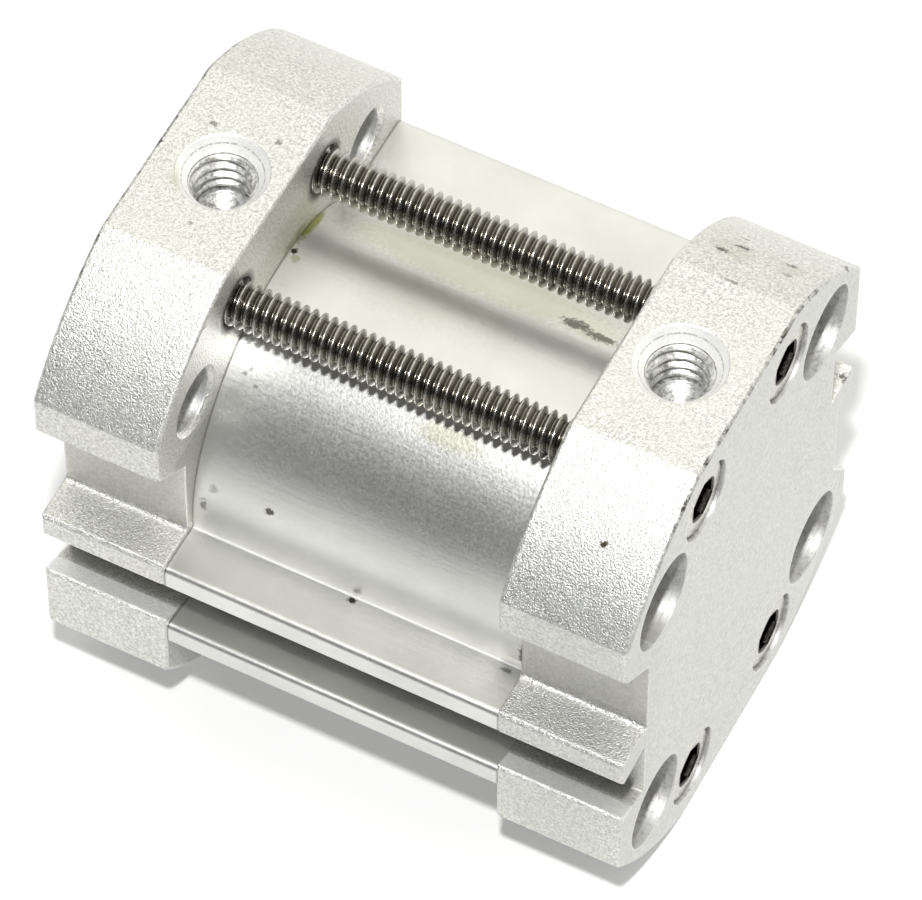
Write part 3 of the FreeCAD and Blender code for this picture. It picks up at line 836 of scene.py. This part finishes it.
# %% [markdown]
# ## Oiled steel of the screws
# The tie screws are dark with oil in the roots of the thread and grey where the crests are rubbed.
# The distance from the screw's axis tells one from the other, and also finds the key sockets, which get
# painted shade.

# %% Screw material
screw_grain_scale, screw_cloud_scale = 3500.0, 260.0
screw_skin_depth = 0.008 * MM
crest_reach = (1.40 * MM, 1.78 * MM)
socket_reach = 1.78 * MM
socket_start = 44.0 * MM
root_dark, root_light = (0.13, 0.12, 0.10, 1), (0.24, 0.225, 0.195, 1)
crest_dark, crest_light = (0.40, 0.385, 0.35, 1), (0.60, 0.585, 0.545, 1)
socket_shade_black = (0.07, 0.064, 0.055, 1)


def make_screw_material():
    """Brown-black in the roots, grey on the crests, painted shade in the key sockets, with a mottled shine.
    """
    material, tree, shader, coordinates = new_material("screw_steel", 1.0, (0.25, 0.24, 0.225), 0.3)
    grain, cloud = use_grain(tree, coordinates, screw_grain_scale, screw_cloud_scale)
    reach = axis_distance(tree, coordinates, tie_axis, ACROSS_X)
    root = mix_colour(tree, ranged(tree, cloud), root_dark, root_light)
    crest = mix_colour(tree, ranged(tree, grain), crest_dark, crest_light)
    base = mix_colour(tree, ranged(tree, reach, 0.0, 1.0, *crest_reach), root, crest)
    in_head = maths(tree, "GREATER_THAN", split(tree, coordinates)["X"], socket_start)
    # painted shade inside the key sockets
    socket = product(tree, inside(tree, reach, socket_reach), in_head)
    fill(tree, shader, {
        "Base Color": mix_colour(tree, socket, base, socket_shade_black),
        "Roughness": ranged(tree, grain, 0.19, 0.32), "Normal": bumped(tree, grain, screw_skin_depth)})
    return material


screw_material = make_screw_material()
print("material", screw_material.name)

# %% [markdown]
# ## The pieces inside
# The rod, the piston and the seals show only at the rod end and in the holes, but each has the finish
# of its stuff: ground chrome, turned aluminium, sintered bronze, matt rubber and plain plastic.

# %% Metals and dull stuffs
cloud_per_grain = 1 / 12


def make_stuff(name, metallic, dark, light, roughness, scale, depth):
    """Mottled colour, shine and height from the grain; scale is dimples per metre, depth is in mm."""
    middle = tuple((a + b) / 2 for a, b in zip(dark, light))
    material, tree, shader, coordinates = new_material(name, metallic, middle, sum(roughness) / 2)
    grain, cloud = use_grain(tree, coordinates, scale, scale * cloud_per_grain)
    mottle = product(tree, maths(tree, "ADD", cloud, grain), 0.5)
    base = mix_colour(tree, ranged(tree, mottle), (*dark, 1), (*light, 1))
    fill(tree, shader, {
        "Base Color": base, "Roughness": ranged(tree, grain, *roughness),
        "Normal": bumped(tree, grain, depth * MM)})
    return material


stuffs = {
    "rod_chrome": (1.0, (0.66, 0.67, 0.68), (0.76, 0.77, 0.78), (0.10, 0.20), 5000, 0.001),
    "piston_aluminium": (1.0, (0.60, 0.60, 0.59), (0.72, 0.72, 0.71), (0.28, 0.40), 4000, 0.004),
    "bush_bronze": (1.0, (0.36, 0.24, 0.11), (0.55, 0.38, 0.19), (0.35, 0.50), 6000, 0.010),
    "seal_rubber": (0.0, (0.010, 0.010, 0.010), (0.035, 0.035, 0.035), (0.50, 0.65), 4000, 0.008),
    "cushion_rubber": (0.0, (0.03, 0.03, 0.035), (0.07, 0.07, 0.075), (0.50, 0.62), 4000, 0.008),
    "guide_plastic": (0.0, (0.54, 0.51, 0.44), (0.68, 0.65, 0.58), (0.42, 0.55), 3000, 0.006),
    "magnet_black": (0.0, (0.02, 0.02, 0.02), (0.055, 0.055, 0.055), (0.58, 0.72), 5000, 0.010),
}
slot_materials = {name: make_stuff(name, *values) for name, values in stuffs.items()}
slot_materials["cap_aluminium"] = cap_material
slot_materials["barrel_aluminium"] = barrel_material
slot_materials["screw_steel"] = screw_material
for part in frame["record"]["subparts"]:
    node = nodes[part["node"]]
    node.data.materials.clear()
    node.data.materials.append(slot_materials[part["material_slot"]])
print("materials", len(slot_materials))

# %% [markdown]
# ## Threads
# A thread is one profile wound along a helix. The screws have straight flanks with small rounds at
# crest and root, and the tapped holes a narrow sharp crest. Points sit only where the profile bends,
# and the rows follow the helix. At both ends the thread runs out to a plain circle.

# %% Thread profiles
crest_edge = 0.07
root_edge = 0.42
round_half = 0.04
round_blur = 0.02


def flank_height(phase):
    """Height from 1 on the flat crest, along a straight flank, to 0 in the flat root; phase is in pitches."""
    from_crest = np.minimum(np.abs(phase), 1.0 - np.abs(phase))
    return np.clip((root_edge - from_crest) / (root_edge - crest_edge), 0.0, 1.0)


corners = (-crest_edge, crest_edge, root_edge, 1.0 - root_edge)
rolled_phase = np.concatenate([corner + np.array([-round_half, 0.0, round_half]) for corner in corners])
rolled_height = (flank_height(rolled_phase - round_blur) + flank_height(rolled_phase + round_blur)) / 2
rolled_profile = (rolled_phase, rolled_height)
tapped_profile = (np.array([-0.05, 0.05, 0.42, 0.58]), np.array([1.0, 1.0, 0.0, 0.0]))
print("rolled profile heights", np.round(rolled_height, 2).tolist())


# %% Thread surface
def thread_grid(length, pitch, root, crest, run_out, columns, profile):
    """Points (along, radius, angle): along = (row phase + part of a turn) x pitch, held to the length;
    radius = root + profile height x depth, and the depth fades to nothing over run_out at both ends."""
    turns = np.arange(math.ceil(length / pitch) + 3) - 1
    phase = (turns[:, None] + profile[0]).ravel()
    height = np.tile(profile[1], len(turns))
    angle = np.linspace(0.0, 2 * np.pi, columns, endpoint=False)
    along = np.clip((phase[:, None] + angle / (2 * np.pi)) * pitch, 0.0, length)
    fade = np.clip(np.minimum(along, length - along) / run_out, 0.0, 1.0)
    radius = root + (crest - root) * height[:, None] * fade
    return along, radius, np.broadcast_to(angle, along.shape)


def closed_ends(points, quads, last_ring, ends, start, columns):
    """Points moved to a start, and faces with a fan over the first ring and one over the last."""
    count = len(points)
    points = np.concatenate([points, [[ends[0], 0.0, 0.0], [ends[1], 0.0, 0.0]]]) + np.array(start)
    first_fan = fan_triangles(count, 0, columns)[:, ::-1]
    last_fan = fan_triangles(count + 1, last_ring, columns)
    return points, quads.tolist() + first_fan.tolist() + last_fan.tolist()


def bolt_thread(start, length, pitch, root, crest, columns=56):
    """Closed outside thread along X from a start point: the thread grid turned about X, with flat ends."""
    along, radius, angle = thread_grid(length, pitch, root, crest, 0.5 * pitch, columns, rolled_profile)
    points = np.stack([along, radius * np.cos(angle), radius * np.sin(angle)], axis=-1)
    rows = len(points)
    lead = len(rolled_phase)
    last_ring = (rows - 1 - lead) * columns
    quads = grid_quads(rows, columns, lead)
    return closed_ends(points.reshape(-1, 3), quads, last_ring, (0.0, length), start, columns)


# %% [markdown]
# ## Tie screws
# Four long screws hold the caps against the barrel. Each is threaded from end to end, and its socket
# head sits in a pocket of the rear cap. The head is a turned profile whose inner rows follow a
# hexagon in place of a circle, so a plain Cylinder with a Boolean isn't needed.

# %% Screw head
def hexagon_radius(angle, across_flats):
    """Distance from the centre to a hexagon's side at an angle: half the width over a cosine."""
    return across_flats / 2 / np.cos((angle + np.pi / 6) % (np.pi / 3) - np.pi / 6)


def socket_head(start, height, radius, inner, across_flats, depth, edge, columns=96):
    """Closed head along X: seat, side, broken edge, face, hexagon socket and its floor, row by row."""
    angle = np.linspace(0.0, 2 * np.pi, columns, endpoint=False)
    hexagon = hexagon_radius(angle, across_flats)
    circle = np.ones(columns)
    bevel = 0.35 * edge
    shoulder = 0.3 * edge
    floor_along = height - depth - 0.4 * edge
    rows = [
        (0.0, inner * circle), (0.0, (radius - bevel) * circle), (bevel, radius * circle),
        (height - edge, radius * circle), (height - shoulder, (radius - shoulder) * circle),
        (height, (radius - edge) * circle), (height, hexagon + bevel), (height - bevel, hexagon),
        (height - depth, hexagon), (floor_along, 0.02 * hexagon),
    ]
    along = np.array([row[0] for row in rows])[:, None] * circle
    reach = np.stack([row[1] for row in rows])
    points = np.stack([along, reach * np.cos(angle), reach * np.sin(angle)], axis=-1)
    last_ring = (len(rows) - 1) * columns
    quads = grid_quads(len(rows), columns)
    return closed_ends(points.reshape(-1, 3), quads, last_ring, (0.0, floor_along), start, columns)


# %% Make the tie screws
tie_pitch = 0.755 * MM
tie_crest = 1.80 * MM
tie_root = 1.30 * MM
tie_head_height = 4.0 * MM
tie_head_edge = 0.3 * MM
tie_head_inner = 0.5 * MM
tie_shank_overlap = 0.3 * MM
tie_socket_width = 3.0 * MM
tie_socket_depth = 2.2 * MM
for node_name in sorted(n for n in nodes if n.startswith("tie_screw_")):
    low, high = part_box(node_name)
    middle_y = (low[1] + high[1]) / 2
    middle_z = (low[2] + high[2]) / 2
    seat_x = high[0] - tie_head_height
    shank_length = seat_x - low[0] + tie_shank_overlap
    shank = bolt_thread((low[0], middle_y, middle_z), shank_length, tie_pitch, tie_root, tie_crest)
    head = socket_head(
        (seat_x, middle_y, middle_z), tie_head_height, (high[1] - low[1]) / 2, tie_head_inner,
        tie_socket_width, tie_socket_depth, tie_head_edge)
    add_piece(node_name + "_threaded", [shank, head], screw_material, "housing", (node_name,))


# %% [markdown]
# ## Port and rod threads
# An inside thread is a sleeve that lines the plain hole of the solid: its outer wall is the hole's
# wall, and its crests reach in. It is the same grid. Below the thread of a port lies the cone that the
# drill's point left, with a narrow way for the air, and the rod's hole goes on smooth. A sleeve keeps
# the CAD solid untouched, where a Boolean would have to cut into it.

# %% Lining of a tapped hole
wall_overlap = 0.004 * MM
drilled_wall = 0.15 * MM
drill_point_slope = math.tan(math.radians(31))


def tapped_lining(mouth, direction, thread_length, length, pitch, root, crest, drilled, way, columns=64):
    """Closed sleeve from a mouth point along a direction: threaded wall, ledge, short drilled wall, cone of
    the drill's point, narrow air way, and the plain outer wall back to the mouth."""
    run_out = 0.4 * pitch
    along, radius, angle = thread_grid(thread_length, pitch, root, crest, run_out, columns, tapped_profile)
    lead = len(tapped_profile[0])
    circle = np.ones(columns)
    wall = root + wall_overlap
    floor = thread_length + drilled_wall
    point = floor + (drilled - way) * drill_point_slope
    extra = [
        (thread_length, drilled), (floor, drilled), (point, way), (length, way), (length, wall), (0.0, wall)]
    rows = len(along)
    along = np.concatenate([along, np.array([row[0] for row in extra])[:, None] * circle])
    radius = np.concatenate([radius, np.array([row[1] for row in extra])[:, None] * circle])
    angle = np.broadcast_to(angle[0], along.shape)
    axis = Vector(direction).normalized()
    side = axis.orthogonal().normalized()
    turn = np.array(Matrix((side, axis.cross(side), axis)))
    local = np.stack([radius * np.cos(angle), radius * np.sin(angle), along], axis=-1)
    points = local.reshape(-1, 3) @ turn + np.array(mouth)
    rings = [(rows - 1 - lead) * columns] + [(rows + step) * columns for step in range(len(extra))] + [0]
    bands = [ring_quads(first, second, columns) for first, second in zip(rings, rings[1:])]
    faces = np.concatenate([grid_quads(rows, columns, lead), *bands])
    return points, faces.tolist()


# %% Make the port and rod threads
port_pitch = 1.0 * MM
port_thread_depth = 0.38 * MM
port_thread_length = 3.8 * MM
rod_thread_length = 7.0 * MM
drilled_radius = 1.98 * MM
air_way_radius = 0.45 * MM
lining_end_gap = 0.05 * MM
for mount_name, body, slot_name, thread_length, way in (
    ("front_port", "housing", "cap_aluminium", port_thread_length, air_way_radius),
    ("rear_port", "housing", "cap_aluminium", port_thread_length, air_way_radius),
    ("rod_end_thread", "piston", "rod_chrome", rod_thread_length, drilled_radius),
):
    mount = mounts[mount_name]
    inward = -Vector(mount["axis"])
    hole_radius = mount["dims"]["r_mm"] * MM
    depth = mount["dims"]["length_mm"] * MM - lining_end_gap
    sleeve = tapped_lining(
        mount["pos_m"], inward, thread_length, depth, port_pitch, hole_radius,
        hole_radius - port_thread_depth, drilled_radius, way)
    add_piece(mount_name + "_lining", [sleeve], slot_materials[slot_name], body)

# %% [markdown]
# ## Floor, light and camera
# The part lies on a plain white floor. The sky behind it is pale and the room in front is dark, so
# the metal has something dark to reflect and its round sides read as round. One small lamp next to
# the camera gives the hard highlights and the narrow shadow of a flash. A quarter of the floor's
# white is its own, for camera and mirror rays only, so the lamp can stay at a plain level, and the
# part that lies towards the viewer is dimmer in reflections, as the edge of a lit table would be.

# %% Floor
floor_half = 1.0
floor_gap = 0.01 * MM
floor_white = (0.85, 0.85, 0.85)
floor_dim = (0.42, 0.42, 0.42)
floor_glow = 0.25
dim_edge = (-0.11, -0.06)


def floor_shader(tree, shader, place):
    """Matt white, part of it glowing for camera and mirror rays; mirror rays see it dimmer far in front."""
    rays = add_node(tree, "ShaderNodeLightPath").outputs
    seen = strongest(tree, rays["Is Camera Ray"], rays["Is Glossy Ray"], rays["Is Transmission Ray"])
    far_front = ranged(tree, split(tree, place)["Y"], 1.0, 0.0, *dim_edge)
    dim = product(tree, far_front, rays["Is Glossy Ray"])
    pale = mix_colour(tree, dim, (*floor_white, 1), (*floor_dim, 1))
    fill(tree, shader, {"Base Color": pale, "Specular IOR Level": 0.0})
    glow = product(tree, seen, maths(tree, "SUBTRACT", 1.0, dim), floor_glow)
    white = add_node(tree, "ShaderNodeEmission", {"Color": (1, 1, 1, 1), "Strength": 1.0})
    blend = add_node(tree, "ShaderNodeMixShader", {
        0: glow, 1: shader.outputs["BSDF"], 2: white.outputs["Emission"]})
    return blend.outputs["Shader"]


def make_floor(half, level):
    """White square under the part."""
    mesh = bpy.data.meshes.new("floor")
    corners = [(-half, -half, level), (half, -half, level), (half, half, level), (-half, half, level)]
    mesh.from_pydata(corners, [], [(0, 1, 2, 3)])
    floor = bpy.data.objects.new("floor", mesh)
    bpy.context.scene.collection.objects.link(floor)
    material, tree, shader, place = new_material("floor_white", 0.0, floor_white, 0.9)
    fill(tree, tree.nodes["Material Output"], {"Surface": floor_shader(tree, shader, place)})
    mesh.materials.append(material)
    return floor


floor = make_floor(floor_half, cad_low[2] - floor_gap)
print("floor at", round(floor.data.vertices[0].co.z, 5))

# %% World
sky_dark, sky_pale = (0.06, 0.06, 0.065, 1), (1.2, 1.195, 1.12, 1)
sky_lean = 1.5
sky_range = (0.1, 1.3)
world = bpy.data.worlds.new("studio")
bpy.context.scene.world = world
world.use_nodes = True
sky_tree = world.node_tree
sky_axes = split(sky_tree, add_node(sky_tree, "ShaderNodeTexCoord").outputs["Generated"])
sky_lift = maths(sky_tree, "ADD", sky_axes["Z"], product(sky_tree, sky_axes["Y"], sky_lean))
sky_share = ranged(sky_tree, sky_lift, 0.0, 1.0, *sky_range)
sky_colour = mix_colour(sky_tree, sky_share, sky_dark, sky_pale)
fill(sky_tree, sky_tree.nodes["Background"], {"Color": sky_colour})
print("world", world.name)

# %% Lamp
lamp_place = Vector((0.135, -0.256, 0.60))
lamp_size = 0.030
lamp_power = 4.5
lamp = bpy.data.lights.new("flash_lamp", "AREA")
lamp.size = lamp_size
lamp.energy = lamp_power
flash_lamp = bpy.data.objects.new("flash_lamp", lamp)
flash_lamp.location = lamp_place
flash_lamp.rotation_euler = (part_middle - lamp_place).to_track_quat("-Z", "Y").to_euler()
bpy.context.scene.collection.objects.link(flash_lamp)
print("lamp", lamp.name)


# %% Camera
def add_camera(azimuth, elevation, roll, distance, target, focal_pixels, image_width):
    """Camera on a ray from the target; azimuth 0 looks along +Y. Roll tilts it about its own axis."""
    turn, lift, tilt = (math.radians(v) for v in (azimuth, elevation, roll))
    back = Vector((math.sin(turn) * math.cos(lift), -math.cos(turn) * math.cos(lift), math.sin(lift)))
    right = Vector((math.cos(turn), math.sin(turn), 0.0))
    up = back.cross(right)
    right_tilted = right * math.cos(tilt) - up * math.sin(tilt)
    up_tilted = back.cross(right_tilted)
    data = bpy.data.cameras.new("photo_camera")
    data.sensor_fit = "HORIZONTAL"
    data.lens = focal_pixels / image_width * data.sensor_width
    camera = bpy.data.objects.new("photo_camera", data)
    axes = Matrix((right_tilted, up_tilted, back)).transposed()
    camera.matrix_world = Matrix.Translation(Vector(target) + back * distance) @ axes.to_4x4()
    bpy.context.scene.collection.objects.link(camera)
    bpy.context.scene.camera = camera
    return camera


camera = add_camera(
    azimuth=26.946, elevation=55.225, roll=-0.3625, distance=0.5596, target=(0.02437, 0.0002, -0.00029),
    focal_pixels=7709.9, image_width=922)
bpy.context.scene.view_settings.view_transform = "Standard"
print("camera", [round(v, 4) for v in camera.location], "lens", round(camera.data.lens, 1))
